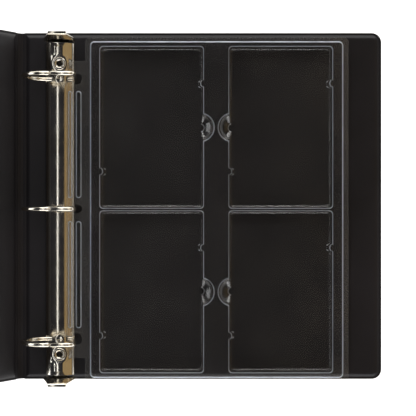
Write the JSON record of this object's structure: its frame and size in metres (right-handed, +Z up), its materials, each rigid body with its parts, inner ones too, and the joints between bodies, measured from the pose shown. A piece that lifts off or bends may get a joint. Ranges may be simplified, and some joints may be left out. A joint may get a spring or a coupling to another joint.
{
  "type": "coin album",
  "caption": "Open black vinyl D-ring album with a riveted ring mechanism and a clear formed page of slab bays.",
  "frame": {"origin": "on the table under the middle of the open album's box", "axes": "+X from the front cover to the back cover, +Y to the top of the page, +Z up"},
  "size_m": [0.6388, 0.2926, 0.0545],
  "materials": {
    "outer_vinyl": "satin embossed vinyl",
    "inner_vinyl": "satin fine-grain vinyl",
    "board": "grey chipboard",
    "nickel": "polished nickel plate",
    "hidden_steel": "plain zinc-plated steel",
    "clear_sheet": "clear formed PVC"
  },
  "bodies": {
    "back_cover": {"back_outer_skin": "outer_vinyl", "back_board": "board", "back_inner_liner": "inner_vinyl", "back_hinge_web": "outer_vinyl", "ring_top_plate": "nickel", "upper_eyelet": "nickel", "lower_eyelet": "nickel", "upper_rivet_post": "hidden_steel", "lower_rivet_post": "hidden_steel"},
    "left_blade": {"left_hinge_blade": "hidden_steel", "upper_left_half_ring": "nickel", "middle_left_half_ring": "nickel", "lower_left_half_ring": "nickel"},
    "right_blade": {"right_hinge_blade": "hidden_steel", "upper_right_half_ring": "nickel", "middle_right_half_ring": "nickel", "lower_right_half_ring": "nickel"},
    "upper_lever": {"upper_lever": "nickel"},
    "lower_lever": {"lower_lever": "nickel"},
    "spine": {"spine_outer_skin": "outer_vinyl", "spine_board": "board", "spine_inner_liner": "inner_vinyl", "front_hinge_web": "outer_vinyl"},
    "front_cover": {"front_outer_skin": "outer_vinyl", "front_board": "board", "front_inner_liner": "inner_vinyl"},
    "page_binding": {"page_binding_strip": "clear_sheet"},
    "page": {"card_page": "clear_sheet"}
  },
  "joints": [
    {"name": "spine_fold", "type": "hinge", "parent": "back_cover", "child": "spine", "pos_m": [0.01652, 0.0004, 0.002], "axis": [0, -1, 0], "range_deg": [-36, 0]},
    {"name": "front_fold", "type": "hinge", "parent": "spine", "child": "front_cover", "pos_m": [-0.02051, 0.0004, 0.05297], "axis": [0, -1, 0], "range_deg": [-153.6, 0]},
    {"name": "ring_open", "type": "hinge", "parent": "back_cover", "child": "left_blade", "pos_m": [0.04022, -0.0021, 0.0055], "axis": [0, 1, 0], "range_deg": [-7, 0]},
    {"name": "right_ring_open", "type": "hinge", "parent": "back_cover", "child": "right_blade", "pos_m": [0.06142, -0.0021, 0.0055], "axis": [0, 1, 0], "range_deg": [0, 7]},
    {"name": "upper_lever_swing", "type": "hinge", "parent": "back_cover", "child": "upper_lever", "pos_m": [0.05082, 0.1365, 0.0062], "axis": [1, 0, 0], "range_deg": [-31.5, 0]},
    {"name": "lower_lever_swing", "type": "hinge", "parent": "back_cover", "child": "lower_lever", "pos_m": [0.05082, -0.1407, 0.0062], "axis": [1, 0, 0], "range_deg": [0, 31.5]},
    {"name": "page_lift", "type": "slide", "parent": "back_cover", "child": "page_binding", "axis": [0, 0, 1], "range_m": [0, 0.024]},
    {"name": "page_turn", "type": "hinge", "parent": "page_binding", "child": "page", "pos_m": [0.07172, -0.0026, 0.011], "axis": [0, -1, 0], "range_deg": [0, 80]}
  ],
  "couplings": [
    {"joint": "right_ring_open", "follows": "ring_open", "ratio": -1},
    {"joint": "upper_lever_swing", "follows": "ring_open", "ratio": 4.5},
    {"joint": "lower_lever_swing", "follows": "ring_open", "ratio": -4.5}
  ]
}
